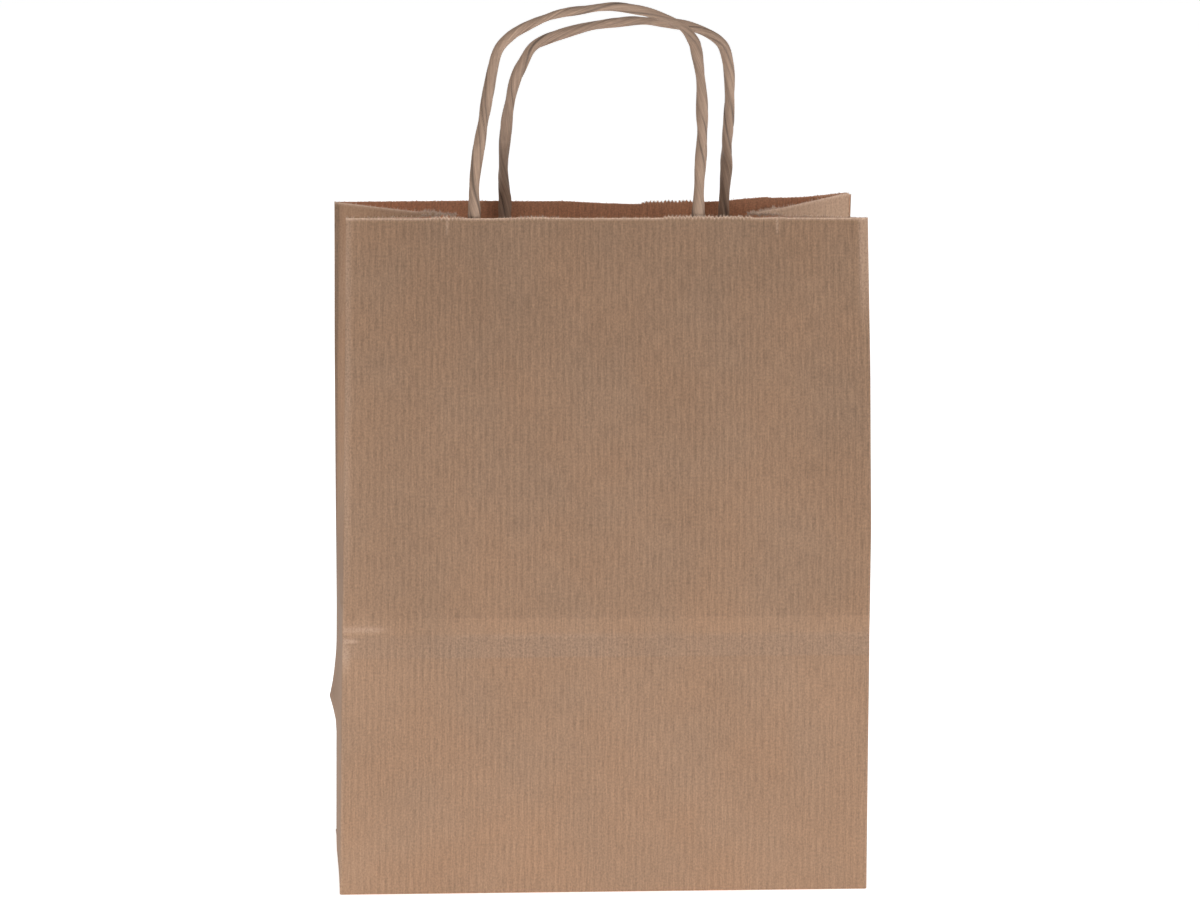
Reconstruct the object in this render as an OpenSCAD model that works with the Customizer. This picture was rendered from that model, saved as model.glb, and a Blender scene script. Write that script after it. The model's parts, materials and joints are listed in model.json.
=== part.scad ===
// Kraft paper gift bag with two twisted paper cord handles.
// The sheet is folded and glued into a square-bottomed bag, and each flat area between two
// creases is a node of its own. Origin: centre of the footprint on the floor. Front faces -Y.

/* [Bag] */
// Width across the front
bag_w = 240; // [180:1:320]
// Depth from front to back at the base
bag_d = 120; // [90:1:140]
// Length of the front panel from the floor to the rim, along the paper
panel_h = 310; // [280:1:400]
// Thickness of the paper, with its glued layers
paper_t = 0.3; // [0.2:0.05:0.5]

/* [Mouth] */
// How far the front and back panels lean inward above the base crease, in degrees
mouth_lean = 9.5; // [5:0.1:11]

/* [Bottom] */
// How far the two bottom flaps overlap at the middle
flap_overlap = 25; // [10:1:35]
// Width of the glued lap where the sheet closes into a tube
lap_w = 18; // [10:1:25]

/* [Handles] */
// Diameter of the twisted cord
cord_d = 5; // [3.5:0.1:6]
// Distance between the two legs of one handle
leg_spacing = 102; // [80:1:120]
// How far the handles sit from the middle of their panels
handle_shift = 8.5; // [0:0.5:15]
// Length of each cord end glued between the patches
cord_in = 56; // [30:1:60]

/* [Patches] */
// Width of the paper patch that holds a handle
patch_w = 152; // [130:1:155]
// Height of the patch
patch_h = 56; // [40:1:70]
// Distance from the rim down to the top of the patch
patch_drop = 12; // [1:0.5:20]

/* [Hidden] */

half_w = bag_w / 2;
half_d = bag_d / 2;
crease_z = bag_d;                // the base folds up flat to this height, so its crease is here
upper_h = panel_h - crease_z;    // length of the leaning panels, along the paper
in_w = half_w - paper_t;
in_d = half_d - paper_t;
flap_len = half_d + flap_overlap / 2;
crease_gap = 0.5;                // clear strip at the base crease, for the lean to turn in
ply_gap = 0.05;                  // glue line between two layers
fold_gap = 0.1;                  // clear strip at the gusset's centre crease

// The rim: half the depth left between the panels, and how far the gusset folds in
rim_half = half_d - upper_h * sin(mouth_lean);
rim_inset = sqrt(pow(half_d, 2) - pow(rim_half, 2));
gusset_steps = 8;

// Cords, in the frame of a leaning panel: y across the paper from its outer face, z up from the crease
cord_r = cord_d / 2;
cord_y = 2 * (paper_t + ply_gap) + cord_r;
hinge_z = upper_h + cord_r + 0.3;
patch_top = upper_h - patch_drop;
cord_sides = 12;
cord_steps = 2;                  // rings from one route point to the next

// Routes of the two handles: distance from the handle's middle, height above the rim
leg_x = leg_spacing / 2;
foot = hinge_z - upper_h;
front_route = [
    [-leg_x, foot], [-51.5, 15], [-50, 30], [-46.5, 52], [-44, 66], [-41, 76.5], [-36, 82.5],
    [-28, 87], [-15, 92], [-1.5, 94.5], [12.5, 96], [26.5, 94], [36, 91], [44, 87],
    [48.5, 81.5], [50.5, 76], [52.5, 61], [53, 43], [52.5, 30], [51.5, 15], [leg_x, foot]
];
back_route = [
    [-leg_x, foot], [-52, 15], [-51.5, 35], [-50, 50], [-48, 60], [-44, 69], [-40.5, 75.5],
    [-36, 79], [-27, 82], [-12.5, 85], [2, 87], [11, 87.5], [26.5, 86], [34, 84.5],
    [40.5, 82], [46.5, 78], [49.5, 73], [51.5, 63], [52, 52], [52, 40], [51.5, 28],
    [51.5, 15], [leg_x, foot]
];

kraft = [0.66, 0.53, 0.44];
kraft_lit = [0.70, 0.57, 0.46];
kraft_shade = [0.60, 0.47, 0.37];
patch_kraft = [0.63, 0.50, 0.40];
cord_kraft = [0.64, 0.52, 0.44];

// ---- Frames ----

// The leaning front panel's frame: x along the crease, y inward from the outer face, z up the paper
module on_front() {
    translate([0, -half_d, crease_z]) rotate([-mouth_lean, 0, 0]) children();
}

// The same for the back panel, seen from the front
module on_back() {
    mirror([0, 1, 0]) on_front() children();
}

// ---- Bottom ----

// A bottom flap folded in from y = -half_d; its ends run in at 45 degrees from the corners
module bottom_flap(layer) {
    tip_w = in_w - flap_len + paper_t;
    translate([0, 0, layer * paper_t])
        linear_extrude(paper_t)
            polygon([[-in_w, -in_d], [in_w, -in_d],
                     [tip_w, flap_len - half_d], [-tip_w, flap_len - half_d]]);
}

// The end of the left gusset, folded in flat under both flaps
module bottom_tuck() {
    translate([-in_w, -in_d, 2 * paper_t]) cube([flap_len - paper_t, 2 * in_d, paper_t]);
}

module bottom_outer_flap() {
    color(kraft) mirror([0, 1, 0]) bottom_flap(0);
}

module bottom_inner_flap() {
    color(kraft) bottom_flap(1);
}

module bottom_left_tuck() {
    color(kraft_shade) bottom_tuck();
}

module bottom_right_tuck() {
    color(kraft_shade) mirror([1, 0, 0]) bottom_tuck();
}

// ---- Box below the base crease ----

module lower_panel() {
    translate([-half_w, -half_d, 0]) cube([bag_w, paper_t, crease_z]);
}

module lower_gusset() {
    translate([-half_w, -in_d, 0]) cube([paper_t, 2 * in_d, crease_z]);
}

module lower_front_panel() {
    color(kraft_lit) lower_panel();
}

module lower_back_panel() {
    color(kraft_lit) mirror([0, 1, 0]) lower_panel();
}

module lower_left_gusset() {
    color(kraft) lower_gusset();
}

module lower_right_gusset() {
    color(kraft) mirror([1, 0, 0]) lower_gusset();
}

// The sheet's glued edge, inside the back panel beside the right gusset
module lower_seam_lap() {
    color(kraft_shade)
        translate([in_w - lap_w, in_d - paper_t - ply_gap, 4 * paper_t])
            cube([lap_w - ply_gap, paper_t, crease_z - 4 * paper_t]);
}

// ---- Leaning panels ----

module upper_panel() {
    translate([-half_w, 0, crease_gap]) cube([bag_w, paper_t, upper_h - crease_gap]);
}

module upper_front_panel() {
    color(kraft) on_front() upper_panel();
}

module upper_back_panel() {
    color(kraft_shade) on_back() upper_panel();
}

module upper_seam_lap() {
    color(kraft_shade)
        on_back()
            translate([in_w - lap_w - 1, paper_t + ply_gap, crease_gap])
                cube([lap_w, paper_t, upper_h - crease_gap - 1]);
}

// ---- Upper gusset halves ----

// Half the depth between the panels at share v of the height of the lean
function half_depth(v) = half_d - v * upper_h * sin(mouth_lean);
// How far the centre crease has folded in there
function inset(v) = v * rim_inset;
// Height there
function lean_z(v) = crease_z + v * upper_h * cos(mouth_lean);
// The paper's thickness measured along x, where the half gusset runs in at a slant
function slant_t(v) = paper_t * sqrt(pow(half_depth(v), 2) + pow(inset(v), 2)) / half_depth(v);

// Four corners of the paper at one height: panel edge, centre crease, and their inner sides
function gusset_ring(v) =
    let (z = lean_z(v))
    let (edge_y = -half_depth(v) + (paper_t + ply_gap) / cos(mouth_lean))
    let (in_x = -half_w + inset(v))
    [[-half_w, edge_y, z], [in_x, -fold_gap, z],
     [in_x + slant_t(v), -fold_gap, z], [-half_w + slant_t(v), edge_y, z]];

// The left gusset's front half: flat along the base crease, folded in at the rim
module gusset_half() {
    first = crease_gap / upper_h;
    shares = [for (i = [0:gusset_steps]) first + (1 - first) * i / gusset_steps];
    points = [for (v = shares) each gusset_ring(v)];
    last = 4 * gusset_steps;
    faces = [
        [0, 1, 2], [0, 2, 3], [last, last + 2, last + 1], [last, last + 3, last + 2],
        for (i = [0:gusset_steps - 1], k = [0:3])
            let (a = 4 * i + k, b = 4 * i + (k + 1) % 4)
            // both sides of the paper are split along the same diagonal
            each k == 2 ? [[a, a + 4, b + 4], [a, b + 4, b]] : [[a, a + 4, b], [b, a + 4, b + 4]]
    ];
    polyhedron(points, faces);
}

module left_gusset_front_half() {
    color(kraft) gusset_half();
}

module left_gusset_back_half() {
    color(kraft) mirror([0, 1, 0]) gusset_half();
}

module right_gusset_front_half() {
    color(kraft_lit) mirror([1, 0, 0]) gusset_half();
}

module right_gusset_back_half() {
    color(kraft_lit) mirror([1, 0, 0]) mirror([0, 1, 0]) gusset_half();
}

// ---- Patches and cord ends, in a leaning panel's frame ----

module patch_outer(shift) {
    translate([shift - patch_w / 2, paper_t + ply_gap, patch_top - patch_h])
        cube([patch_w, paper_t, patch_h]);
}

// Section of the inner patch, which steps over the two cord ends
module patch_section() {
    flat_y = 2 * (paper_t + ply_gap) + ply_gap;
    difference() {
        union() {
            translate([-patch_w / 2, flat_y]) square([patch_w, paper_t]);
            for (x = [-leg_x, leg_x]) intersection() {
                translate([x, cord_y]) circle(r = cord_r + ply_gap + paper_t, $fn = 48);
                translate([x - cord_d, flat_y]) square([2 * cord_d, 2 * cord_d]);
            }
        }
        for (x = [-leg_x, leg_x]) translate([x, cord_y]) circle(r = cord_r + ply_gap, $fn = 48);
    }
}

module patch_inner(shift) {
    translate([shift, 0, patch_top]) mirror([0, 0, 1]) linear_extrude(patch_h) patch_section();
}

module cord_end(x) {
    translate([x, cord_y, upper_h - cord_in]) cylinder(h = cord_in, r = cord_r, $fn = 48);
}

module front_patch_outer() {
    color(patch_kraft) on_front() patch_outer(-handle_shift);
}

module front_patch_inner() {
    color(patch_kraft) on_front() patch_inner(-handle_shift);
}

module front_cord_left_end() {
    color(cord_kraft) on_front() cord_end(-handle_shift - leg_x);
}

module front_cord_right_end() {
    color(cord_kraft) on_front() cord_end(-handle_shift + leg_x);
}

module back_patch_outer() {
    color(patch_kraft) on_back() patch_outer(handle_shift);
}

module back_patch_inner() {
    color(patch_kraft) on_back() patch_inner(handle_shift);
}

module back_cord_left_end() {
    color(cord_kraft) on_back() cord_end(handle_shift - leg_x);
}

module back_cord_right_end() {
    color(cord_kraft) on_back() cord_end(handle_shift + leg_x);
}

// ---- Handle loops ----

// A smooth curve through a route: the point at share t between b and c
function smooth(a, b, c, d, t) =
    (2 * b + (c - a) * t + (2 * a - 5 * b + 4 * c - d) * t * t
     + (3 * b - a - 3 * c + d) * t * t * t) / 2;

function route_curve(route) =
    let (n = len(route) - 1)
    [for (i = [0:n - 1], k = [0:cord_steps - 1])
         smooth(route[max(i - 1, 0)], route[i], route[i + 1], route[min(i + 2, n)],
                k / cord_steps),
     route[n]];

// A round tube along a curve in the x-z plane, its feet cut square to z
module cord_tube(route) {
    curve = route_curve(route);
    n = len(curve) - 1;
    points = [
        for (i = [0:n])
            let (along = i == 0 ? [0, 1] : i == n ? [0, -1] : curve[i + 1] - curve[i - 1])
            let (side = [-along[1], along[0]] / norm(along))
            for (k = [0:cord_sides - 1])
                let (turn = 360 * k / cord_sides)
                [curve[i][0] + cord_r * cos(turn) * side[0], cord_r * sin(turn),
                 curve[i][1] + cord_r * cos(turn) * side[1]]
    ];
    faces = [
        [for (k = [0:cord_sides - 1]) k],
        [for (k = [cord_sides - 1:-1:0]) n * cord_sides + k],
        for (i = [0:n - 1], k = [0:cord_sides - 1])
            let (a = i * cord_sides + k, b = i * cord_sides + (k + 1) % cord_sides)
            each [[a, a + cord_sides, b], [b, a + cord_sides, b + cord_sides]]
    ];
    polyhedron(points, faces);
}

module handle_loop(route, shift) {
    translate([shift, cord_y, upper_h]) cord_tube(route);
}

module front_handle_loop() {
    color(cord_kraft) on_front() handle_loop(front_route, -handle_shift);
}

module back_handle_loop() {
    color(cord_kraft) on_back() handle_loop(back_route, handle_shift);
}

bottom_outer_flap();
bottom_inner_flap();
bottom_left_tuck();
bottom_right_tuck();
lower_front_panel();
lower_back_panel();
lower_left_gusset();
lower_right_gusset();
lower_seam_lap();
upper_front_panel();
front_patch_outer();
front_patch_inner();
front_cord_left_end();
front_cord_right_end();
front_handle_loop();
upper_back_panel();
back_patch_outer();
back_patch_inner();
back_cord_left_end();
back_cord_right_end();
back_handle_loop();
upper_seam_lap();
left_gusset_front_half();
left_gusset_back_half();
right_gusset_front_half();
right_gusset_back_half();
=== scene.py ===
"""Kraft paper gift bag with twisted paper cord handles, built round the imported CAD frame."""
import json
import math
import bpy
import numpy as np
from mathutils import Matrix, Vector, noise


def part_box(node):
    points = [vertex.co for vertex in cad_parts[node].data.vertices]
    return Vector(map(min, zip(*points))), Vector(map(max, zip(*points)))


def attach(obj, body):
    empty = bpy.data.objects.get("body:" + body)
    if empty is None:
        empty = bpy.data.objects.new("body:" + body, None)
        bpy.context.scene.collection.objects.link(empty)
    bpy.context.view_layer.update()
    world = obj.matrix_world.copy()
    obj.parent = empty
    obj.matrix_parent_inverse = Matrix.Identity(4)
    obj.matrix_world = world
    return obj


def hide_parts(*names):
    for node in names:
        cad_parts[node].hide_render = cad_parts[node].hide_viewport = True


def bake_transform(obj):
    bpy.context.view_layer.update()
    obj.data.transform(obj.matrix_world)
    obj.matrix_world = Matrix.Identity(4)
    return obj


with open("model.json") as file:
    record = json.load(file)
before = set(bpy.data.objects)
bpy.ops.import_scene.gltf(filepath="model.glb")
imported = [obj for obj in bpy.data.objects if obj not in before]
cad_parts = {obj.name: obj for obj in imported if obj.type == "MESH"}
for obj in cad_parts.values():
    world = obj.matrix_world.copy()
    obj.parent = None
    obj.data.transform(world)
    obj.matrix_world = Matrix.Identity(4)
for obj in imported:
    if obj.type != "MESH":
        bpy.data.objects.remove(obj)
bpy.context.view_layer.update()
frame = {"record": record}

MM = 0.001
JOINTS = {j["name"]: j for j in frame["record"]["behaviour"]["joints"]}

# ---- Driving sizes, from the frame ----
box_lo, box_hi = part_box("lower_front_panel")
HALF_W = box_hi[0]
HALF_D = -box_lo[1]
CREASE = box_hi[2]                                      # height of the base crease
LEAN = -math.radians(JOINTS["mouth"]["range_deg"][0])   # how far the open mouth leans in at rest
RIM_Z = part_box("upper_front_panel")[1][2]
UPPER = (RIM_Z - CREASE) / math.cos(LEAN)               # length of a leaning panel
PAPER = 0.3 * MM
RIM_INSET = math.sqrt(HALF_D ** 2 - (HALF_D - UPPER * math.sin(LEAN)) ** 2)
HINGE = np.array(JOINTS["front_handle_bend"]["pos_m"])
CORD_R = 2.5 * MM
CORD_Y = 3.2 * MM                                       # cord's middle, inward of the panel's face
LEG_X = 51 * MM
CORD_IN = 56 * MM
PATCH_W = 152 * MM
PATCH_H = 56 * MM
PATCH_TOP = UPPER - 12 * MM
LAP_W = 18 * MM
SLACK = 0.1 * MM                                        # air between two glued layers

# Colours, as linear reflectance
KRAFT = (0.249, 0.150, 0.092)
KRAFT_INSIDE = (0.60, 0.29, 0.165)
KRAFT_TORN = (0.70, 0.53, 0.42)
# pale worn paper, also used for a painted light
KRAFT_WORN_AND_LIT = (0.60, 0.42, 0.31)
CORD_KRAFT = (0.32, 0.212, 0.148)
SPECK = (0.06, 0.035, 0.025)


# ---- Small helpers ----

def smooth(t):
    """Smoothstep of t clipped to 0..1."""
    t = np.clip(t, 0, 1)
    return t * t * (3 - 2 * t)


def bell(x, middle, width):
    """A bump of height 1."""
    return np.exp(-((x - middle) / width) ** 2)


def plateau(x, low, high, edge):
    """1 between low and high, 0 outside, with soft edges."""
    return smooth((x - low) / edge + 0.5) * smooth((high - x) / edge + 0.5)


def tent(x, middle, below, above):
    """A pointed bump of height 1, reaching a distance below and above its middle."""
    t = np.where(x < middle, (middle - x) / below, (x - middle) / above)
    return np.clip(1 - t, 0, 1) ** 1.3


def noise_at(x, y, scale, seed):
    """Smooth noise of about -1..1 at each pair of places, features about scale wide."""
    x, y = np.broadcast_arrays(np.asarray(x, float), np.asarray(y, float))
    flat = [noise.noise((a / scale, b / scale, seed)) for a, b in zip(x.ravel(), y.ravel())]
    return np.array(flat).reshape(x.shape)


def catmull_at(x, xs, ys):
    """A smooth curve through the points (xs, ys), read at x."""
    fine = np.linspace(xs[0], xs[-1], 200)
    line = np.interp(fine, xs, ys)
    for _ in range(12):
        line[1:-1] = (line[:-2] + 2 * line[1:-1] + line[2:]) / 4
    return np.interp(x, fine, line)


def mesh_object(name, verts, faces, attributes, materials, face_slots=None):
    """A smooth-shaded mesh with point attributes given as arrays."""
    mesh = bpy.data.meshes.new(name)
    mesh.from_pydata(np.asarray(verts).reshape(-1, 3).tolist(), [], [list(f) for f in faces])
    for key, values in attributes.items():
        values = np.asarray(values, np.float32)
        kind = "FLOAT_VECTOR" if values.ndim == 2 else "FLOAT"
        made = mesh.attributes.new(key, kind, "POINT")
        made.data.foreach_set("vector" if values.ndim == 2 else "value", values.ravel())
    for m in materials:
        mesh.materials.append(m)
    if face_slots is not None:
        mesh.polygons.foreach_set("material_index", np.asarray(face_slots, np.int32))
    mesh.polygons.foreach_set("use_smooth", np.ones(len(mesh.polygons), bool))
    mesh.update()
    obj = bpy.data.objects.new(name, mesh)
    bpy.context.scene.collection.objects.link(obj)
    return obj


def grid_quads(rows, cols, start=0, flip=False):
    """Quads of a rows x cols grid whose first vertex is number start."""
    quads = []
    for r in range(rows - 1):
        for c in range(cols - 1):
            a = start + r * cols + c
            q = (a, a + 1, a + cols + 1, a + cols)
            quads.append(q[::-1] if flip else q)
    return quads


def fibres(places, ups, weights, count, longest, seed):
    """Fine paper fibres standing out of a torn edge, as thin three-sided spikes."""
    dice = np.random.RandomState(seed)
    picks = dice.choice(len(places) - 1, count, p=weights[:-1] / weights[:-1].sum())
    verts, faces = [], []
    for k in picks:
        t = dice.rand()
        root = places[k] * (1 - t) + places[k + 1] * t
        side = places[k + 1] - places[k]
        side = side / np.linalg.norm(side)
        up = ups[k]
        out = np.cross(side, up)
        lean = up + side * dice.normal(0, 0.7) + out * dice.normal(0, 0.5)
        tip = root + lean / np.linalg.norm(lean) * longest * (0.25 + 0.75 * dice.rand() ** 2)
        thick = (0.09 + 0.09 * dice.rand()) * MM
        root = root - up * 0.15 * MM
        n = len(verts)
        verts += [root + side * thick, root - side * thick, root + out * thick, tip]
        faces += [(n, n + 1, n + 3), (n + 1, n + 2, n + 3), (n + 2, n, n + 3), (n + 1, n, n + 2)]
    return np.array(verts), faces


def paper_piece(name, outer, inner, sheet, wear_and_light, materials, cut_top=False, tone=None, fuzz=None):
    """A closed sheet of paper from two grids of points. Its top or bottom edge may be a bare cut."""
    rows, cols = outer.shape[:2]
    n = rows * cols
    faces = grid_quads(rows, cols) + grid_quads(rows, cols, n, flip=True)
    slots = [0] * (len(faces) // 2) + [2] * (len(faces) // 2)
    ring = [(0, c) for c in range(cols - 1)]
    ring += [(r, cols - 1) for r in range(rows - 1)]
    ring += [(rows - 1, c) for c in range(cols - 1, 0, -1)]
    ring += [(r, 0) for r in range(rows - 1, 0, -1)]
    for (r0, c0), (r1, c1) in zip(ring, ring[1:] + ring[:1]):
        a, b = r0 * cols + c0, r1 * cols + c1
        faces.append((b, a, a + n, b + n))
        slots.append(1 if r0 == r1 == rows - 1 and cut_top else 0)
    coords = np.concatenate([sheet.reshape(-1, 3)] * 2)
    tone = np.zeros(outer.shape[:2]) if tone is None else tone
    marks = {"sheet": coords, "wear_and_light": np.concatenate([wear_and_light.ravel()] * 2),
             "tone": np.concatenate([tone.ravel()] * 2)}
    verts = np.concatenate([outer.reshape(-1, 3), inner.reshape(-1, 3)])
    if fuzz is not None:
        more, more_faces = fuzz
        faces += [tuple(i + len(verts) for i in f) for f in more_faces]
        slots += [1] * len(more_faces)
        verts = np.concatenate([verts, more])
        marks["sheet"] = np.concatenate([marks["sheet"], more])
        for key in ("wear_and_light", "tone"):
            marks[key] = np.concatenate([marks[key], np.zeros(len(more))])
    return mesh_object(name, verts, faces, marks, materials, slots)


# ---- Camera, first ----

CAMERA_PLACE = (-0.1942, -2.4013, 0.6257)
CAMERA_LENS = 158.6          # mm, on a sensor 36 mm wide
YAW = math.radians(4.64)     # to the right of straight ahead
PITCH = math.radians(10.13)  # downward
ROLL = math.radians(0.53)


def camera():
    """A long lens, well above the rim and a little to the left of the middle."""
    level = math.cos(PITCH)
    ahead = Vector((math.sin(YAW) * level, math.cos(YAW) * level, -math.sin(PITCH)))
    right = Vector((math.cos(YAW), -math.sin(YAW), 0))
    up = right.cross(ahead)
    rolled_right = math.cos(ROLL) * right + math.sin(ROLL) * up
    rolled_up = math.cos(ROLL) * up - math.sin(ROLL) * right
    data = bpy.data.cameras.new("camera")
    data.sensor_width = 36
    data.lens = CAMERA_LENS
    data.clip_end = 100
    obj = bpy.data.objects.new("camera", data)
    turn = Matrix((rolled_right, rolled_up, -ahead)).transposed().to_4x4()
    obj.matrix_world = Matrix.Translation(CAMERA_PLACE) @ turn
    bpy.context.scene.collection.objects.link(obj)
    bpy.context.scene.camera = obj


# ---- Materials ----

class Nodes:
    """Short calls for building a material's nodes."""

    def __init__(self, name):
        self.material = bpy.data.materials.new(name)
        self.material.use_nodes = True
        self.tree = self.material.node_tree
        self.shader = next(n for n in self.tree.nodes if n.type == "BSDF_PRINCIPLED")

    def put(self, socket, value):
        """Links a socket to a socket, or sets its value."""
        if isinstance(value, bpy.types.NodeSocket):
            self.tree.links.new(value, socket)
        else:
            socket.default_value = value

    def math(self, operation, a, b=0.0, c=0.0):
        """The result of one operation on numbers or sockets."""
        node = self.tree.nodes.new("ShaderNodeMath")
        node.operation = operation
        for socket, value in zip(node.inputs, (a, b, c)):
            self.put(socket, value)
        return node.outputs[0]

    def attribute(self, name, output="Vector"):
        """A point attribute of the mesh."""
        node = self.tree.nodes.new("ShaderNodeAttribute")
        node.attribute_name = name
        return node.outputs[output]

    def scaled(self, vector, scale):
        """A vector times a scale, one number for each axis."""
        node = self.tree.nodes.new("ShaderNodeMapping")
        self.put(node.inputs["Vector"], vector)
        node.inputs["Scale"].default_value = scale
        return node.outputs[0]

    def noise(self, vector, scale, detail=3.0, rough=0.55):
        """Noise of about 0..1."""
        node = self.tree.nodes.new("ShaderNodeTexNoise")
        self.put(node.inputs["Vector"], vector)
        node.inputs["Scale"].default_value = scale
        node.inputs["Detail"].default_value = detail
        node.inputs["Roughness"].default_value = rough
        return node.outputs["Fac"]

    def span(self, value, low, high, to_low=0.0, to_high=1.0):
        """Maps low..high to to_low..to_high, and clips."""
        node = self.tree.nodes.new("ShaderNodeMapRange")
        for key, v in (("Value", value), ("From Min", low), ("From Max", high),
                       ("To Min", to_low), ("To Max", to_high)):
            self.put(node.inputs[key], v)
        return node.outputs[0]

    def mix(self, share, a, b):
        """Colour a turned into colour b by a share."""
        node = self.tree.nodes.new("ShaderNodeMix")
        node.data_type = "RGBA"
        self.put(node.inputs["Factor"], share)
        self.put(node.inputs["A"], a)
        self.put(node.inputs["B"], b)
        return node.outputs["Result"]

    def bump(self, height, distance, normal=None):
        """A normal for relief of a height, on top of another normal."""
        node = self.tree.nodes.new("ShaderNodeBump")
        node.inputs["Strength"].default_value = 1.0
        node.inputs["Distance"].default_value = distance
        self.put(node.inputs["Height"], height)
        if normal is not None:
            self.put(node.inputs["Normal"], normal)
        return node.outputs[0]


RIB_PITCH = 3.17 * MM


def kraft(name, base, ribs=1.0):
    """Ribbed machine-glazed kraft: fine ribs along the sheet, fibres, cloudy formation and specks."""
    m = Nodes(name)
    sheet = m.attribute("sheet")
    split = m.tree.nodes.new("ShaderNodeSeparateXYZ")
    m.put(split.inputs[0], sheet)
    drift = m.noise(m.scaled(sheet, (60, 8, 1)), 1.0, 2.0)
    phase = m.math("MULTIPLY_ADD", split.outputs["X"], 2 * math.pi / RIB_PITCH,
                   m.math("MULTIPLY", drift, 2.4))
    rib = m.math("SINE", phase)
    rib_fade = m.span(m.noise(m.scaled(sheet, (28, 16, 1)), 1.0, 3.0), 0.3, 0.7, 0.45, 1.0)
    rib = m.math("MULTIPLY", rib, rib_fade)
    fibre = m.noise(m.scaled(sheet, (1150, 900, 1)), 1.0, 3.0, 0.7)
    hair = m.noise(m.scaled(sheet, (1500, 120, 1)), 1.0, 3.0)
    cloud = m.noise(m.scaled(sheet, (22, 17, 1)), 1.0, 4.0, 0.6)
    warmth = m.noise(m.scaled(sheet, (30, 24, 1)), 1.0, 1.0)
    tone = m.math("MULTIPLY", rib, 0.075 * ribs)
    for value, amount in ((fibre, 1.20), (hair, 0.80), (cloud, 0.30)):
        tone = m.math("ADD", tone, m.math("MULTIPLY", m.math("SUBTRACT", value, 0.5), amount))
    # the tone attribute adds painted light and shade, and bands at the base crease
    level = m.math("ADD", m.math("ADD", tone, 1.0), m.attribute("tone", "Fac"))
    shade = m.tree.nodes.new("ShaderNodeVectorMath")
    shade.operation = "SCALE"
    cool = [c * k for c, k in zip(base, (0.985, 1.0, 1.015))]
    warm = [c * k for c, k in zip(base, (1.015, 0.998, 0.98))]
    tinted = m.mix(m.span(warmth, 0.35, 0.65), (*cool, 1), (*warm, 1))
    m.put(shade.inputs[0], tinted)
    m.put(shade.inputs["Scale"], level)
    speck_cells = m.tree.nodes.new("ShaderNodeTexVoronoi")
    m.put(speck_cells.inputs["Vector"], m.scaled(sheet, (30, 22, 1)))
    speck_cells.inputs["Scale"].default_value = 1.0
    speck = m.span(speck_cells.outputs["Distance"], 0.012, 0.020, 0.75, 0.0)
    colour = m.mix(speck, shade.outputs[0], (*SPECK, 1))
    # pale wear, and a painted light on the right gusset's back half
    wear_and_light = m.attribute("wear_and_light", "Fac")
    worn_and_lit = m.math("MULTIPLY", wear_and_light, m.span(fibre, 0.30, 0.62, 0.35, 1.0))
    colour = m.mix(worn_and_lit, colour, (*KRAFT_WORN_AND_LIT, 1))
    m.put(m.shader.inputs["Base Color"], colour)
    m.put(m.shader.inputs["Roughness"], m.span(fibre, 0.2, 0.8, 0.62, 0.82))
    m.shader.inputs["Specular IOR Level"].default_value = 0.32
    relief = m.bump(rib, 0.035 * MM * ribs)
    relief = m.bump(fibre, 0.06 * MM, relief)
    m.put(m.shader.inputs["Normal"], relief)
    return m.material


def cut_edge(name, base):
    """The bare, fibrous edge of torn or cut kraft."""
    m = Nodes(name)
    sheet = m.attribute("sheet")
    fuzz = m.noise(m.scaled(sheet, (1500, 1500, 1)), 1.0, 3.0, 0.7)
    colour = m.mix(m.span(fuzz, 0.3, 0.7), tuple(c * 0.86 for c in base) + (1,),
                   tuple(min(1, c * 1.18) for c in base) + (1,))
    m.put(m.shader.inputs["Base Color"], colour)
    m.shader.inputs["Roughness"].default_value = 0.9
    m.shader.inputs["Specular IOR Level"].default_value = 0.15
    m.put(m.shader.inputs["Normal"], m.bump(fuzz, 0.2 * MM))
    return m.material


def twisted_paper(name, base):
    """Paper twisted into a cord: streaks along the twist, painted shade in the seams, pale on the
    ridges.
    """
    m = Nodes(name)
    along = m.attribute("cord")
    streak = m.noise(m.scaled(along, (3.2, 3.2, 0.5)), 1.0, 4.0, 0.6)
    fine = m.noise(m.scaled(along, (11, 11, 1.0)), 1.0, 4.0, 0.65)
    mottle = m.noise(m.scaled(along, (2.0, 2.0, 9.0)), 1.0, 3.0)
    tone = 1.0
    for value, amount in ((streak, 1.2), (fine, 1.3), (mottle, 0.35)):
        tone = m.math("ADD", m.math("MULTIPLY", m.math("SUBTRACT", value, 0.5), amount), tone)
    shade = m.tree.nodes.new("ShaderNodeVectorMath")
    shade.operation = "SCALE"
    shade.inputs[0].default_value = base
    m.put(shade.inputs["Scale"], tone)
    # painted shade in the seams of the twist
    crease = m.attribute("crease", "Fac")
    seam_shade = tuple(c * 0.22 for c in base) + (1,)
    colour = m.mix(m.math("MULTIPLY", crease, 0.95), shade.outputs[0], seam_shade)
    wear_and_light = m.attribute("wear_and_light", "Fac")
    pale = tuple(min(1, c * 1.4) for c in base) + (1,)
    colour = m.mix(m.math("MULTIPLY", wear_and_light, 0.5), colour, pale)
    m.put(m.shader.inputs["Base Color"], colour)
    m.put(m.shader.inputs["Roughness"], m.span(streak, 0.2, 0.8, 0.45, 0.65))
    m.shader.inputs["Specular IOR Level"].default_value = 0.5
    relief = m.bump(streak, 0.35 * MM)
    relief = m.bump(fine, 0.12 * MM, relief)
    m.put(m.shader.inputs["Normal"], relief)
    return m.material


# ---- The sheet's shape ----

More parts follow.
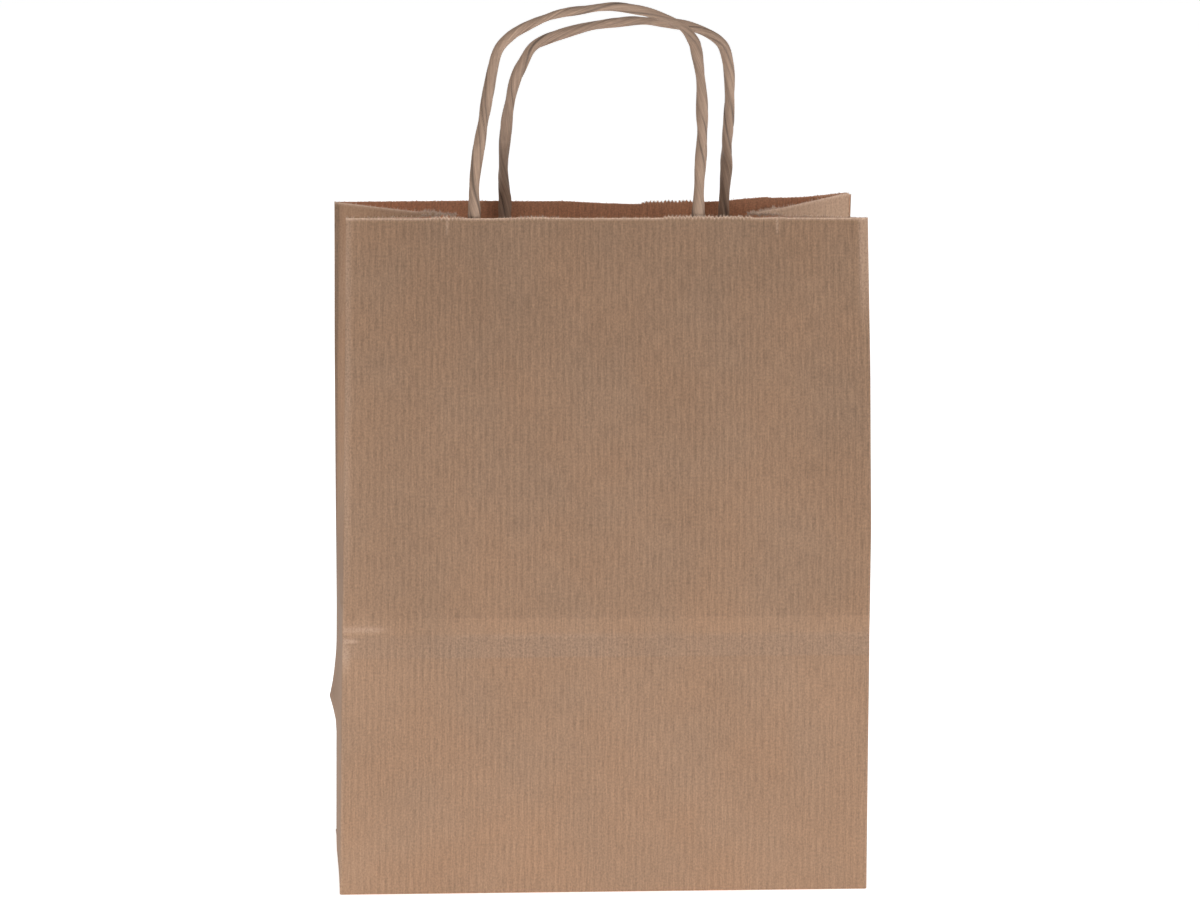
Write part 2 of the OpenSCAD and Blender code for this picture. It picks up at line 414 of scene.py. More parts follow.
FOLD_R = 0.9 * MM            # how tightly the corners are folded
FOOT_R = 0.4 * MM            # and the floor's edges
CENTRE_R = 0.7 * MM          # the gussets' centre creases
TOOTH = 1.7 * MM             # pitch of the torn teeth
WAVE = 0.55 * MM             # height of the slow waves in the flats
CREASE_BAND = 9.5 * MM       # the pale band below the base crease
BULGE_Z = 80 * MM            # where the side gussets bow out below the base crease
RIM_V = CREASE + UPPER       # distance up the paper of the rim
BEND = 4                     # columns round each corner
ACROSS = int(round(2 * HALF_W / (TOOTH / 2)))   # columns across the front and the back
SIDE = 34                    # columns across half a gusset


def profile(v):
    """How far the front and back have leaned in, and the height, at distance v up the paper."""
    step = 0.25 * MM
    fine = np.arange(0, RIM_V + 4 * MM, step)
    angle = LEAN * smooth((fine - CREASE + 3.5 * MM) / (7 * MM))
    angle = angle - math.radians(6) * bell(fine, CREASE + 5 * MM, 3.5 * MM)
    angle = angle + math.radians(5) * bell(fine, CREASE - 4 * MM, 4.5 * MM)
    inward = np.cumsum(np.sin(angle)) * step
    height = np.cumsum(np.cos(angle)) * step
    inward *= UPPER * math.sin(LEAN) / np.interp(RIM_V, fine, inward)
    height = height + (RIM_Z - np.interp(RIM_V, fine, height)) * smooth(fine / CREASE)
    return np.interp(v, fine, inward), np.interp(v, fine, height)


# How far each corner stands outward of the straight box at six heights, in millimetres
STATIONS = np.array([0, 60, 120, 170, 240, 310]) * MM
SPREAD = {
    "front_left": [1.5, 0.9, 0.4, -0.2, -1.0, -1.7],
    "front_right": [0.8, 0.4, 0.1, 1.2, 1.2, 0.3],
    "back_right": [0.6, 0.3, 0.0, 0.0, 0.1, 0.2],
    "back_left": [-1.4, -1.2, -0.6, 0.3, 1.3, 1.8],
}


def corners_at(v):
    """The six corners of the bag's section at each distance v: front left, front right,
    right fold, back right, back left, left fold."""
    inward, z = profile(v)
    share = np.clip((v - CREASE) / UPPER, 0, 1)
    foot = FOOT_R - np.sqrt(FOOT_R ** 2 - (FOOT_R - np.minimum(v, FOOT_R)) ** 2)
    half = HALF_D - inward - foot
    out = {k: HALF_W - foot + MM * catmull_at(v, STATIONS, row) for k, row in SPREAD.items()}
    open_right = 3 * MM * share ** 1.5            # the back right corner stands further back
    fold = RIM_INSET * share ** 0.94 + 0.8 * MM * smooth((v - 100 * MM) / (20 * MM))
    left_out = 1.2 * MM * smooth(v / (8 * MM)) * smooth((CREASE - v) / (30 * MM))
    left_out = left_out + 3.2 * MM * tent(v, BULGE_Z, 14 * MM, 17 * MM)
    right_out = 1.8 * MM * tent(v, BULGE_Z + 9 * MM, 18 * MM, 14 * MM)
    drop = 3.0 * MM * share ** 2

    def corner(x, y, height):
        return np.stack(np.broadcast_arrays(x, y, height), -1)

    return [
        corner(-out["front_left"], -half, z),
        corner(out["front_right"], -half, z),
        corner(HALF_W - foot - fold * 0.97 + right_out, open_right * 0.45, z - drop),
        corner(out["back_right"], half + open_right, z + 4.0 * MM * share ** 3),
        corner(-out["back_left"], half, z),
        corner(-HALF_W + foot + fold * 0.995 - left_out, 0 * v, z - drop),
    ]


# First column of each corner's bend, then the columns where the pieces meet
CORNER_AT = np.cumsum([0, ACROSS, SIDE, SIDE, ACROSS, SIDE, SIDE]) + np.arange(7) * BEND
FRONT = (0, CORNER_AT[1] + BEND)
RIGHT_FOLD = CORNER_AT[2] + BEND // 2
BACK = (CORNER_AT[3], CORNER_AT[4] + BEND)
LEFT_FOLD = CORNER_AT[5] + BEND // 2
CLOSING = CORNER_AT[6]


def tube(v):
    """Grid of points: a row for each v, a column for each place round the bag, closed."""
    keys = corners_at(v)
    spans = [ACROSS, SIDE, SIDE, ACROSS, SIDE, SIDE]
    radii = [FOLD_R, FOLD_R, CENTRE_R, FOLD_R, FOLD_R, CENTRE_R]
    columns = []
    for k in range(6):
        a, b, before = keys[k], keys[(k + 1) % 6], keys[k - 1]
        ahead = (b - a) / np.linalg.norm(b - a, axis=-1, keepdims=True)
        behind = (before - a) / np.linalg.norm(before - a, axis=-1, keepdims=True)
        enter, leave = a + behind * radii[k], a + ahead * radii[k]
        for i in range(BEND):
            t = i / BEND
            columns.append((1 - t) ** 2 * enter + 2 * t * (1 - t) * a + t * t * leave)
        stop = b - ahead * radii[(k + 1) % 6]
        columns += [leave + (stop - leave) * (i / spans[k]) for i in range(spans[k])]
    columns.append(columns[0])
    return np.stack(columns, 1)


def rows_up():
    """Distances up the paper of the rows: close together at the floor, the crease and the rim."""
    rows = [0, 0.1, 0.25]
    for low, high, step in ((0.4, 80, 5.5), (80, 108, 2.5), (108, 132, 1.0), (132, 296, 5.5),
                            (296, 306, 2.0), (306, 310, 0.8)):
        count = max(1, round((high - low) / step))
        rows += [low + (high - low) * i / count for i in range(count)]
    rows = np.array([r for r in rows if abs(r * MM - CREASE) > 0.4 * MM and r * MM < RIM_V - MM])
    return np.sort(np.concatenate([rows * MM, [CREASE, RIM_V - 0.7 * MM, RIM_V - 0.35 * MM, RIM_V]]))


# Height of the back rim above or below the straight cut, in millimetres, from left to right
BACK_RIM_X = np.array([-120, -60, -34, -15, 4, 13, 21, 24, 46, 47.5, 60, 69, 80, 83, 98, 120]) * MM
BACK_RIM = np.array([0, -0.6, -1.4, -1.7, -3.1, -3.6, -3.9, -3.2, -3.2, -3.5, -3.1, -2.3, -1.6,
                     -2.1, -1.9, 0]) * MM


def torn_zone(x, back):
    """How torn the cut edge is along the front or the back rim, from 0 to 1."""
    if back:
        return smooth((x - 21 * MM) / (2 * MM)) * smooth((48 * MM - x) / (2 * MM))
    strong = smooth((x - 25 * MM) / (3 * MM)) * smooth((68 * MM - x) / (3 * MM))
    weak = bell(x, -73 * MM, 7 * MM) + 0.7 * bell(x, -33 * MM, 9 * MM)
    weak = weak + 0.4 * bell(x, 78 * MM, 4 * MM)
    return np.clip(strong + weak, 0, 1)


def rim_rise(x, back):
    """How far the cut edge stands above or below the rim: torn teeth, steps and slow waves."""
    teeth = np.where(np.arange(len(x)) % 2 == 0, 0.5, -0.5)
    rough = noise_at(x, 0, 2.3 * MM, 3.0 + back)
    rise = torn_zone(x, back) * (0.15 + 1.0 * teeth + 0.5 * rough) * MM
    rise = rise + (0.12 * noise_at(x, 0, 2.5 * MM, 9.0 + back) + 0.12 * teeth) * MM
    if back:
        return rise + np.interp(x, BACK_RIM_X, BACK_RIM)
    return rise + 0.2 * MM * noise_at(x, 0, 50 * MM, 5.0) + 0.35 * MM * torn_zone(x, back)


def normals(grid):
    """The outward direction at each point of the closed grid."""
    wrapped = np.concatenate([grid[:, -2:-1], grid, grid[:, 1:2]], 1)
    across = (wrapped[:, 2:] - wrapped[:, :-2])
    out = np.cross(across, np.gradient(grid, axis=0))
    return out / np.maximum(np.linalg.norm(out, axis=-1, keepdims=True), 1e-12)


def build_tube():
    """The whole folded sheet as one grid: outer and inner points, sheet coordinates, wear with
    painted light, tone with painted light and shade, and the distance of each row up the paper."""
    v = rows_up()
    grid = tube(v)
    cols = grid.shape[1]
    spread = np.linalg.norm(np.diff(grid[len(v) // 3], axis=0), axis=1)
    u = np.concatenate([[0], np.cumsum(spread)])
    u = u - u[FRONT[1]] / 2
    panels = [np.arange(CORNER_AT[k] + BEND, CORNER_AT[k + 1]) for k in range(6)]

    # slow waves in the flats, none at the folds, the floor or the crease
    flat = np.zeros(cols)
    for k, c in enumerate(panels):
        t = np.linspace(0, 1, len(c))
        flat[c] = smooth(np.minimum(t, 1 - t) * 8) * (1.0 if k in (0, 3) else 0.6)
    coarse = np.unique(np.append(np.arange(0, cols, 8), cols - 1))
    wave = noise_at(u[None, coarse], v[:, None], 55 * MM, 1.7)
    wave = wave + 0.5 * noise_at(u[None, coarse], v[:, None], 24 * MM, 4.1)
    wave = np.stack([np.interp(np.arange(cols), coarse, row) for row in wave])
    quiet = smooth(v / (25 * MM)) * (1 - 0.7 * bell(v, CREASE, 8 * MM))
    # the glued patches hold the paper flat
    glued = smooth((v - (CREASE + PATCH_TOP - PATCH_H - 10 * MM)) / (12 * MM))[:, None]
    patched = np.zeros(cols)
    for (a, b), shift in ((FRONT, HINGE[0]), (BACK, -HINGE[0])):
        c = np.arange(a, b + 1)
        near = np.abs(grid[-1, c, 0] - shift)
        patched[c] = smooth((PATCH_W / 2 + 10 * MM - near) / (10 * MM))
    wave = wave * (1 - 0.9 * glued * patched)
    grid = grid + normals(grid) * (WAVE * wave * flat * quiet[:, None])[..., None]

    # the torn rim
    rise = np.zeros(cols)
    for back, (a, b) in enumerate((FRONT, BACK)):
        c = np.arange(a + BEND, b - BEND + 1)
        rise[c] = rim_rise(grid[-1, c, 0], back)
    for fold, seed in ((RIGHT_FOLD, 2.3), (LEFT_FOLD, 6.1)):
        c = np.arange(fold - 30, fold + 31)
        d = np.linalg.norm(grid[-1, c] - grid[-1, fold], axis=-1)
        bits = np.where(c % 2 == 0, 0.45, -0.35) + 0.9 * noise_at(d, c, 1.6 * MM, seed)
        rise[c] += smooth((19 * MM - d) / (3 * MM)) * (0.5 + bits) * 0.8 * MM
    # its back right corner is rounded off
    away = np.linalg.norm(grid[-1] - grid[-1, BACK[0] + BEND // 2], axis=-1)
    rise -= 1.3 * MM * smooth(1 - away / (2.6 * MM))
    up = np.gradient(grid, axis=0)
    up /= np.linalg.norm(up, axis=-1, keepdims=True)
    near_rim = smooth((v - (RIM_V - 8 * MM)) / (8 * MM))[:, None]
    grid = grid + up * (near_rim * rise)[..., None]
    grid[:, -1] = grid[:, 0]
    inner = grid - normals(grid) * PAPER

    place_u, place_v = np.meshgrid(u, v)
    sheet = np.stack([place_u, place_v, 0 * place_u], -1)
    return grid, inner, sheet, wear_and_light_marks(u, v), shading(place_u, place_v), v


def crease_marks_along(u):
    """How strongly the base crease's marks show at each place round the bag."""
    return np.clip(0.75 + 0.8 * noise_at(u, 0, 60 * MM, 8.2), 0.15, 1)


def wear_and_light_marks(u, v):
    """Where the paper is worn pale, and a painted light on the right gusset's back half, from 0 to 1:
    a row for each v, a column for each u.
    """
    up = v[:, None]
    wear_and_light = np.zeros((len(v), len(u)))
    last = len(u) - 1
    fold_u = [u[min(CORNER_AT[k] + BEND // 2, last)] for k in (0, 1, 3, 4, 6)]
    left, right = fold_u[:2]
    patchy = np.clip(0.6 + 0.7 * noise_at(0, up, 30 * MM, 8.2), 0.1, 1)
    for place in fold_u:
        wear_and_light += 0.30 * patchy * bell(u, place, 0.8 * MM)

    # beside the front panel's left fold, and a strip at the top of its right fold
    wear_and_light += 0.20 * bell(u, left + 1.6 * MM, 1.3 * MM) * smooth((up - CREASE) / (60 * MM))
    near_top = smooth((up - RIM_V + 60 * MM) / (45 * MM))
    wear_and_light += 0.36 * smooth((u - right + 5.5 * MM) / (2 * MM)) * (u < right) * near_top

    # the base crease and the band below it
    along = crease_marks_along(u)
    wear_and_light += 0.15 * plateau(up, CREASE - CREASE_BAND, CREASE, MM) * along
    wear_and_light += 0.16 * bell(up, CREASE + 0.5 * MM, 0.8 * MM) * along ** 2

    # the gussets' folds: a centre crease, and two diagonals from the floor's corners
    for fold in (u[RIGHT_FOLD], u[LEFT_FOLD]):
        off = np.abs(u - fold)
        here = off < HALF_D - MM
        diagonal = bell(up + off, HALF_D, 0.8 * MM)
        centre = bell(off, 0, 0.8 * MM) * (up > HALF_D)
        wear_and_light += 0.30 * here * patchy * np.maximum(diagonal, centre)

    # three rubbed marks where the base crease meets the left fold
    long_mark = smooth((left + 24 * MM - u) / (12 * MM)) * (u > left)
    short_mark = smooth((left + 8 * MM - u) / (3 * MM)) * (u > left)
    wear_and_light += 0.35 * bell(up, CREASE + 3.6 * MM, 1.4 * MM) * long_mark
    wear_and_light += 0.6 * bell(up, CREASE - 1.5 * MM, 0.6 * MM) * short_mark
    wear_and_light += 0.35 * bell(up, CREASE - 9 * MM, 6 * MM) * bell(u, left + 1.5 * MM, 1.8 * MM)

    # the rim, a painted light on the right gusset's back half, and two nicks in the front rim
    at_back = (u > u[BACK[0]]) & (u < u[BACK[1]])
    wear_and_light += smooth((up - (RIM_V - 0.95 * MM)) / (0.7 * MM)) * np.where(at_back, 0.15, 1.1)
    painted_light_half = (u > (u[CORNER_AT[2]] + u[RIGHT_FOLD]) / 2) & (u < u[BACK[0]])
    wear_and_light += 0.37 * painted_light_half * smooth((up - RIM_V + 50 * MM) / (30 * MM))
    nick = smooth((up - (RIM_V - 9 * MM)) / (5 * MM))
    for place in (-73.5 * MM, 78 * MM):
        wear_and_light += 0.5 * nick * bell(u, place, 0.45 * MM)
    return np.clip(wear_and_light, 0, 1)


def shading(u, v):
    """Painted light and shade in the paper's tone: darker towards the rim, lighter gussets, the light
    and shade of the cord ends; and bands at the base crease.
    """
    z = v - CREASE
    # painted shade: darker towards the rim and a step darker just above the base crease, lighter near
    # the floor
    tone = 0.12 - 0.19 * v / RIM_V + 0.06 * smooth(1 - v / (70 * MM))
    tone = tone - 0.02 * smooth((z + 3 * MM) / (6 * MM))
    # a darker band just below the base crease and a lighter band just above it
    along = crease_marks_along(u[0])[None, :]
    tone = tone - 0.19 * plateau(z, -CREASE_BAND, 0, MM) * along
    tone = tone + 0.12 * plateau(z, 1.5 * MM, 8.5 * MM, 1.2 * MM) * along

    # painted light: the upper gussets and the whole left gusset are lighter; the front panel by its
    # left fold is lighter too
    edge = HALF_W + 2 * MM
    gusset = (np.abs(u) > edge) & (np.abs(u - 2 * HALF_W - 2 * HALF_D) > edge)
    tone = tone + 0.34 * gusset * smooth(z / (60 * MM))
    tone = tone + 0.12 * (u > 3 * HALF_W + 2 * HALF_D + 2 * MM)
    tone = tone + 0.07 * smooth((-HALF_W + 30 * MM - u) / (30 * MM)) * (u > -edge)

    # painted shade and highlight of the cord ends pressed under the front panel: a dark line by the
    # left leg, a light line by the right leg and a darker strip beside it
    glued = smooth((z - UPPER + 62 * MM) / (8 * MM))
    left, right = u - HINGE[0] + LEG_X, u - HINGE[0] - LEG_X
    tone = tone - 0.05 * glued * bell(left, 0.5 * MM, 2.5 * MM)
    return tone + 0.05 * glued * bell(right, 0, 1.5 * MM) - 0.03 * glued * bell(right, 5 * MM, 4 * MM)


def cut_sheet(papers):
    """Cuts the folded sheet into the pieces that move apart; the gussets' low parts and laps are
    joined to the box body.
    """
    grid, inner, sheet, wear_and_light, tone, v = build_tube()
    crease = int(np.argmin(np.abs(v - CREASE)))
    rim = len(v) - 1

    def rim_fibres(c0, c1, weights, count, longest, seed):
        places = (grid[-1] + inner[-1])[c0:c1 + 1] / 2
        ups = (grid[-1] - grid[-3])[c0:c1 + 1]
        ups = ups / np.linalg.norm(ups, axis=-1, keepdims=True)
        return fibres(places, ups, weights, count, longest, seed)

    def piece(name, r0, r1, c0, c1, sink=0.0, **cuts):
        rows = slice(r0, r1 + 1)
        columns = slice(c0, c1 + 1)
        drop = normals(grid)[rows, columns] * sink
        return paper_piece(name, grid[rows, columns] - drop, inner[rows, columns] - drop,
                           sheet[rows, columns], wear_and_light[rows, columns], papers,
                           tone=tone[rows, columns], **cuts)

    for name, (c0, c1), side in (("front", FRONT, -1), ("back", BACK, 1)):
        torn = 0.12 + torn_zone(grid[-1, c0:c1 + 1, 0], side > 0)
        fuzz = rim_fibres(c0, c1, torn, 900, 1.3 * MM, 5 + side)
        obj = piece(name + "_sheet", 0, rim, c0, c1, cut_top=True, fuzz=fuzz)
        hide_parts("lower_" + name + "_panel", "upper_" + name + "_panel")
        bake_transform(obj)

    # each gusset: its side, its first column, its centre crease, its last column, its two halves
    gussets = (("right", 1, CORNER_AT[1] + BEND, RIGHT_FOLD, CORNER_AT[3], ("front", "back")),
               ("left", -1, CORNER_AT[4] + BEND, LEFT_FOLD, CLOSING, ("back", "front")))
    lap_rows = int(np.searchsorted(v, CREASE + 2.6 * MM))
    for name, side, lo, fold, hi, ends in gussets:
        obj = piece(name + "_gusset_low", 0, crease, lo, hi)
        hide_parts("lower_" + name + "_gusset")
        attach(obj, "box")
        lap = piece(name + "_gusset_lap", crease - 3, lap_rows, lo + 2, hi - 2, sink=0.6 * MM)
        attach(lap, "box")
        for end, (c0, c1) in zip(ends, ((lo, fold), (fold, hi))):
            reach = np.linalg.norm(grid[-1, c0:c1 + 1] - grid[-1, fold], axis=-1)
            weights = 0.1 + smooth((20 * MM - reach) / (6 * MM))
            fuzz = rim_fibres(c0, c1, weights, 420, 2.2 * MM, 20 + c0)
            obj = piece(name + "_gusset_" + end, crease, rim, c0, c1, cut_top=True, fuzz=fuzz)
            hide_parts(name + "_gusset_" + end + "_half")
            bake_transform(obj)

    # the glued lap inside the back panel, beside the right-hand gusset
    lap_u = sheet[0, BACK[0], 0]
    c1 = BACK[0] + BEND + int(np.searchsorted(sheet[0, BACK[0] + BEND:, 0], lap_u + LAP_W))
    obj = piece("seam_lap", 5, rim - 1, BACK[0] + BEND, c1, sink=0.38 * MM, cut_top=True)
    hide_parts("lower_seam_lap", "upper_seam_lap")
    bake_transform(obj)


# ---- Floor of the bag ----

def bottom_plate(name, node, outline, level, wave_seed, papers):
    """A flat flap of the floor: outline gives its half width at each end and its two ends in y."""
    near_half, far_half, y_near, y_far, x_mid = outline
    rows, cols = 22, 40
    t = np.linspace(0, 1, rows)[:, None]
    s = np.linspace(-1, 1, cols)[None, :]
    half = near_half + (far_half - near_half) * t
    x = x_mid + s * half
    y = y_near + (y_far - y_near) * t + 0 * s
    lift = 0.05 * MM * noise_at(x, y, 30 * MM, wave_seed)
    bottom = level + 0.02 * MM + np.clip(lift, 0, 1)
    if y_far < y_near:
        x = x[:, ::-1]
    low = np.stack([x, y, bottom], -1)
    high = np.stack([x, y, bottom + PAPER * 0.95], -1)
    sheet = np.stack([x, y, 0 * x], -1)
    wear_and_light = 0.4 * (np.broadcast_to(t, x.shape) > 0.97) + 0.3 * (np.abs(s) > 0.98)
    obj = paper_piece(name, high, low, sheet, np.broadcast_to(wear_and_light, x.shape).astype(float), papers)
    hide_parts(node)
    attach(obj, "box")


def floor_of_bag(papers):
    """Two flaps and two tucks, glued flat over each other."""
    for name in ("bottom_outer_flap", "bottom_inner_flap"):
        lo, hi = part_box(name)
        turn = name == "bottom_outer_flap"
        near, far = (hi[1], lo[1]) if turn else (lo[1], hi[1])
        tip = hi[0] - (hi[1] - lo[1]) + PAPER
        bottom_plate(name.replace("bottom", "floor"), name, (hi[0], tip, near, far, 0), lo[2],
                     3.0 + turn, papers)
    for name in ("bottom_left_tuck", "bottom_right_tuck"):
        lo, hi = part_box(name)
        half = (hi[0] - lo[0]) / 2
        bottom_plate(name.replace("bottom", "floor"), name, (half, half, lo[1], hi[1],
                     (lo[0] + hi[0]) / 2), lo[2], 7.0 + half, papers)


# ---- Handles ----

# The middle line of each handle above the rim: distance from the handle's middle, and height up
# the panel's lean, in millimetres (the CAD source's points, with small bends)
FRONT_ROUTE = [(-51, 2.8), (-51, 15), (-49.2, 30), (-45.4, 52), (-42.8, 66), (-40, 76), (-35, 82),
               (-28, 86.5), (-15, 92), (-1.5, 94.5), (12.5, 96), (26.5, 94), (36, 91), (44, 87),
               (48.5, 81.5), (50.5, 76), (52.5, 61), (53, 43), (52.5, 30), (51.5, 15), (51, 2.8)]
BACK_ROUTE = [(-51, 2.8), (-52, 15), (-51.2, 35), (-49.3, 50), (-47, 60), (-43, 69), (-39.5, 75),
              (-34.5, 78.2), (-26, 81.3), (-12.5, 85), (2, 87), (11, 87.5), (26.5, 86), (34, 84.5),
              (40.5, 82), (46.5, 78), (49.5, 73), (51.5, 63), (52, 52), (52, 40), (51.5, 28),
              (51.5, 15), (51, 2.8)]


def panel_place(side, x, y, z):
    """World points from panel points: y inward of the outer face, z up the panel from the crease."""
    c, s = math.cos(LEAN), math.sin(LEAN)
    out = -HALF_D + y * c + z * s
    return np.stack(np.broadcast_arrays(x, -side * out, CREASE + z * c - y * s), -1)


def catmull(points, per_span=10):
    """A smooth line through the points."""
    p = np.array(points, float)
    p = np.concatenate([[2 * p[0] - p[1]], p, [2 * p[-1] - p[-2]]])
    out = []
    for i in range(1, len(p) - 2):
        for k in range(per_span):
            t = k / per_span
            out.append(0.5 * (2 * p[i] + (p[i + 1] - p[i - 1]) * t
                              + (2 * p[i - 1] - 5 * p[i] + 4 * p[i + 1] - p[i + 2]) * t ** 2
                              + (3 * p[i] - p[i - 1] - 3 * p[i + 1] + p[i + 2]) * t ** 3))
    return np.array(out + [p[-2]])


def cord_line(route, shift):
    """Evenly spaced points (x, z) up one leg, over and down the other, from glued end to end."""
    top = catmull(route) * MM
    low = np.array([(-LEG_X, -CORD_IN), (-LEG_X, -30 * MM), (-LEG_X, -10 * MM)])
    line = np.concatenate([low, top, low[::-1] * (-1, 1)])
    line[:, 0] += shift
    line[:, 1] += UPPER
    lengths = np.concatenate([[0], np.cumsum(np.linalg.norm(np.diff(line, axis=0), axis=1))])
    count = int(lengths[-1] / (0.8 * MM))
    at = np.linspace(0, lengths[-1], count)
    return np.stack([np.interp(at, lengths, line[:, k]) for k in (0, 1)], -1), at


TWIST_PITCH = 58 * MM        # length of cord in one whole turn
SEGMENTS = 40                # points round the cord


def tube_faces(rows, segments, flip):
    """Faces of a tube of rings. The two vertices after the last ring close its two ends."""
    faces = []
    for r in range(rows - 1):
        for c in range(segments):
            d = (c + 1) % segments
            here, above = r * segments, (r + 1) * segments
            faces.append((here + c, here + d, above + d, above + c))
    base = rows * segments
    for c in range(segments):
        d = (c + 1) % segments
        faces += [(d, c, base), (base - segments + c, base - segments + d, base + 1)]
    return [f[::-1] for f in faces] if flip else faces


def cord_seams(around, s, seed):
    """The seams of a rolled and twisted strip, which come and go along the cord, from 0 to 1."""
    seams = 0 * around
    for turn, width, place in ((0.0, 0.10, 11), (2.4, 0.06, 12), (4.1, 0.07, 13), (3.2, 0.05, 14)):
        strength = smooth(0.55 + 1.5 * noise_at(s, 0, 24 * MM, seed + place))[:, None]
        bend_here = 0.35 * noise_at(s, 0, 18 * MM, seed + place + 5)[:, None]
        line_here = np.exp(-(np.sin((around - turn - bend_here) / 2) / width) ** 2)
        seams = np.maximum(seams, line_here * strength)
    return seams


def cord(name, side, route, shift, paper, seed):
    """A handle of twisted paper: an irregular round cord with helical seams."""
    line, s = cord_line(route, shift)
    ahead = np.gradient(line, axis=0)
    ahead /= np.linalg.norm(ahead, axis=1, keepdims=True)
    across = np.stack([ahead[:, 1], -ahead[:, 0]], -1)
    a = np.arange(SEGMENTS) / SEGMENTS * 2 * math.pi
    wander = 0.9 * noise_at(s, 0, 35 * MM, seed)
    twist = 2 * math.pi * s / TWIST_PITCH + wander
    around = a[None, :] - side * twist[:, None]
    lumps = noise_at(s, 0, 15 * MM, seed + 3)
    flat = 0.11 + 0.05 * noise_at(s, 0, 40 * MM, seed + 4)
    creases = cord_seams(around, s, seed)
    folds = noise_at(np.cos(around) * MM + s[:, None] * 0.05, np.sin(around) * MM, 0.62 * MM, seed)
    radius = CORD_R * (1.0 + 0.07 * lumps[:, None] + 0.06 * folds)
    radius = radius * (1 + flat[:, None] * np.cos(2 * around)) - 0.42 * MM * creases
    height = line[:, 1, None] - UPPER
    glued = smooth((10 * MM - height) / (14 * MM))       # pressed flatter towards the patch
    inside = smooth((PATCH_TOP - UPPER + 4 * MM - height) / (6 * MM))
    radius = radius * (1 - 0.10 * inside) * (1 - 0.21 * smooth((height - 78 * MM) / (12 * MM)))
    tilt = 0.25 * MM * noise_at(s, 0, 22 * MM, seed + 7)
    wide = 1 + 0.16 * glued * (1 - inside)
    x = line[:, 0, None] + across[:, 0, None] * radius * wide * np.cos(a)
    z = line[:, 1, None] + across[:, 1, None] * radius * np.cos(a)
    y = CORD_Y + radius * np.sin(a) * (1 - 0.10 * glued) + tilt[:, None] * (1 - glued)
    points = panel_place(side, x, y, z)
    verts = points.reshape(-1, 3).tolist()
    verts += [points[0].mean(0).tolist(), points[-1].mean(0).tolist()]
    faces = tube_faces(len(s), SEGMENTS, flip=side > 0)
    length = np.broadcast_to(s[:, None] / (20 * MM), around.shape)
    streak = np.stack([np.cos(around), np.sin(around), length], -1)
    wear_and_light = np.clip(0.9 * folds, 0, 1)
    ends = [[0, 0, 0], [0, 0, 0]]
    # the crease attribute marks the seams, for the painted shade in them
    attributes = {"cord": np.concatenate([streak.reshape(-1, 3), ends]),
                  "crease": np.concatenate([creases.ravel(), [0, 0]]),
                  "wear_and_light": np.concatenate([wear_and_light.ravel(), [0, 0]])}
    obj = mesh_object(name, verts, faces, attributes, [paper])
    panel = "front" if side < 0 else "back"
    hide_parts(panel + "_handle_loop", panel + "_cord_left_end", panel + "_cord_right_end")
    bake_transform(obj)


def patches(side, shift, papers):
    """The two layers of paper that hold the cord's ends: a flat one, and one that steps over them."""
    panel = "front" if side < 0 else "back"
    x = np.unique(np.concatenate([np.linspace(-PATCH_W / 2, PATCH_W / 2, 77)]
                                 + [leg + np.linspace(-7, 7, 29) * MM for leg in (-LEG_X, LEG_X)]))
    z = np.linspace(PATCH_TOP - PATCH_H, PATCH_TOP, 29)
    grid_x, grid_z = np.meshgrid(x, z)
    seed = 11.0 + side
    wave = 0.5 + 0.5 * noise_at(grid_x, grid_z, 22 * MM, seed)
    flat = PAPER + SLACK + 0 * grid_x
    over = 2 * (PAPER + SLACK) + SLACK + 0.12 * MM * wave
    glued = UPPER - CORD_IN
    held = smooth((grid_z - glued + 5 * MM) / (6 * MM))
    for leg in (-LEG_X, LEG_X):
        d = np.abs(grid_x - leg)
        cap = np.sqrt(np.clip((CORD_R + SLACK) ** 2 - d ** 2, 0, None)) + CORD_Y
        step = over + (CORD_Y + CORD_R + SLACK - over) * np.exp(-(d / (2.9 * MM)) ** 4)
        over = over + (np.maximum(step, np.where(d < CORD_R, cap, 0)) - over) * held
    sheet = np.stack([grid_x, grid_z, 0 * grid_x + 0.5], -1)
    wear_and_light = 0.35 * ((z[:, None] > z[-2]) | (z[:, None] < z[1])) + 0 * grid_x
    for name, y in (("patch_outer", flat), ("patch_inner", over)):
        near = panel_place(side, grid_x + shift, y, grid_z)
        far = panel_place(side, grid_x + shift, y + PAPER, grid_z)
        grids = (near, far) if side < 0 else (far, near)
        obj = paper_piece(panel + "_" + name + "_paper", *grids, sheet, wear_and_light, papers)
        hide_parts(panel + "_" + name)
        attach(obj, panel + "_panel")


# ---- Room ----

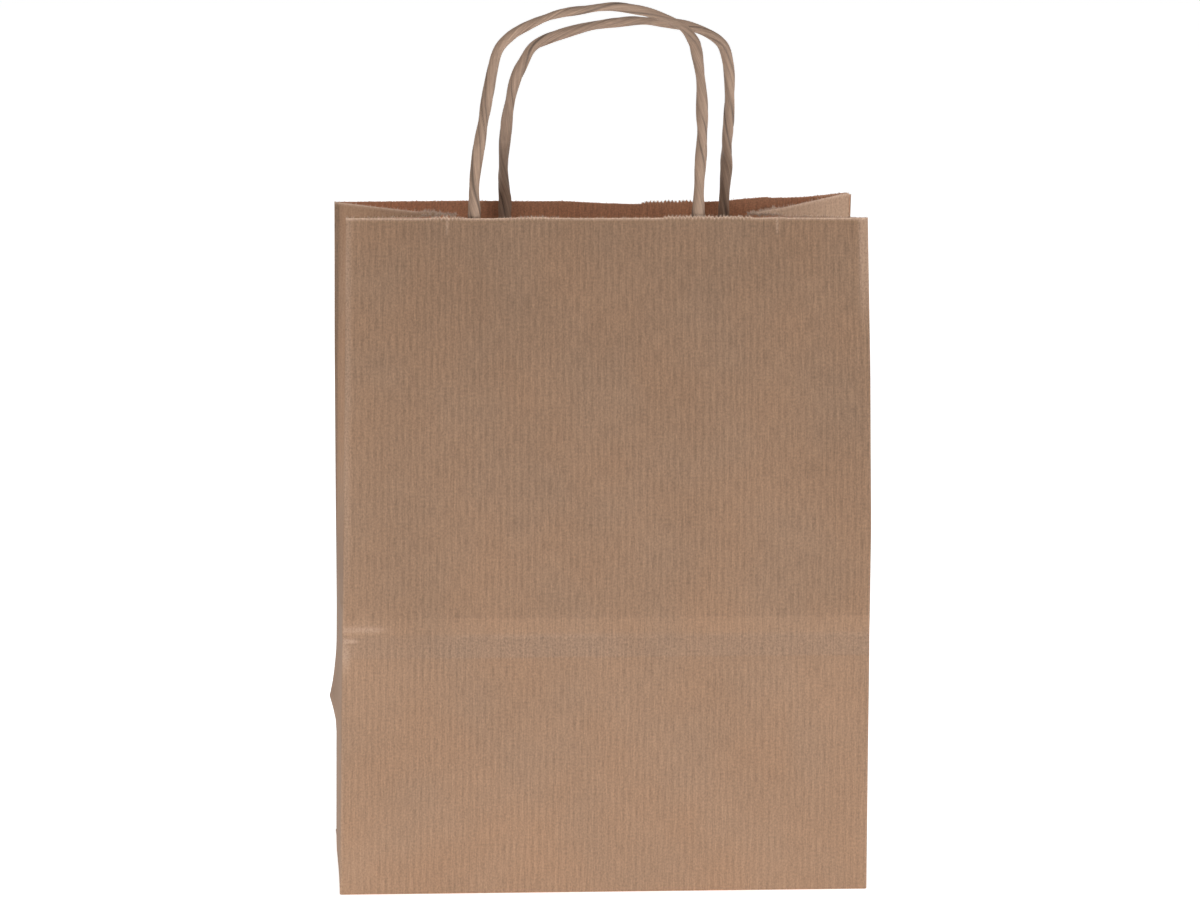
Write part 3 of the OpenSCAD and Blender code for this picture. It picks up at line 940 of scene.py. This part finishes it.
# Each lamp: name, place, where it points, width and height, power
LAMPS = (
    ("low_front", (0, -0.47, 0.045), (0, 0, 0.10), (1.3, 0.07), 1.3),
    ("key_right", (1.7, -1.2, 0.75), (0, 0, 0.26), (0.9, 0.9), 11.0),
    ("fill_left", (-1.8, -1.5, 1.2), (0, 0, 0.25), (1.0, 1.0), 4.0),
    ("top", (0.1, -0.5, 1.9), (0, 0, 0.3), (1.0, 1.0), 6.5),
    ("back", (-0.6, 2.2, 1.1), (0, 0, 0.25), (1.2, 1.2), 9.0),
)


def lamp(name, place, aim, size, power):
    """A soft lamp of a width and a height, pointed at a place."""
    data = bpy.data.lights.new(name, "AREA")
    data.shape = "RECTANGLE"
    data.size, data.size_y = size
    data.energy = power
    obj = bpy.data.objects.new(name, data)
    obj.location = place
    obj.rotation_euler = (Vector(aim) - Vector(place)).to_track_quat("-Z", "Y").to_euler()
    bpy.context.scene.collection.objects.link(obj)


def room():
    """A plain white floor that glows a little, and soft studio lamps."""
    m = Nodes("backdrop")
    m.shader.inputs["Base Color"].default_value = (0.93, 0.93, 0.93, 1)
    m.shader.inputs["Roughness"].default_value = 0.9
    m.shader.inputs["Specular IOR Level"].default_value = 0.1
    m.shader.inputs["Emission Color"].default_value = (1, 1, 1, 1)
    m.shader.inputs["Emission Strength"].default_value = 0.66
    bpy.ops.mesh.primitive_plane_add(size=14, location=(0, 0, 0))
    floor = bpy.context.object
    floor.name = "floor"
    floor.data.materials.append(m.material)
    world = bpy.data.worlds.new("studio")
    world.use_nodes = True
    background = next(n for n in world.node_tree.nodes if n.type == "BACKGROUND")
    background.inputs["Color"].default_value = (1, 1, 1, 1)
    background.inputs["Strength"].default_value = 0.36
    bpy.context.scene.world = world
    for each in LAMPS:
        lamp(*each)
    bpy.context.scene.view_settings.view_transform = "Standard"


def main():
    camera()
    edge = cut_edge("kraft_edge", KRAFT_TORN)
    inside = kraft("kraft_inside", KRAFT_INSIDE, 0.6)
    papers = [kraft("kraft", KRAFT), edge, inside]
    patch_paper = kraft("patch_kraft", KRAFT_INSIDE, 0.5)
    patch_papers = [patch_paper, edge, patch_paper]
    cut_sheet(papers)
    floor_of_bag(papers)
    paper = twisted_paper("cord_paper", CORD_KRAFT)
    shift = HINGE[0]
    cord("front_cord", -1, FRONT_ROUTE, shift, paper, 2.5)
    cord("back_cord", 1, BACK_ROUTE, -shift, paper, 14.5)
    patches(-1, shift, patch_papers)
    patches(1, -shift, patch_papers)
    room()


main()
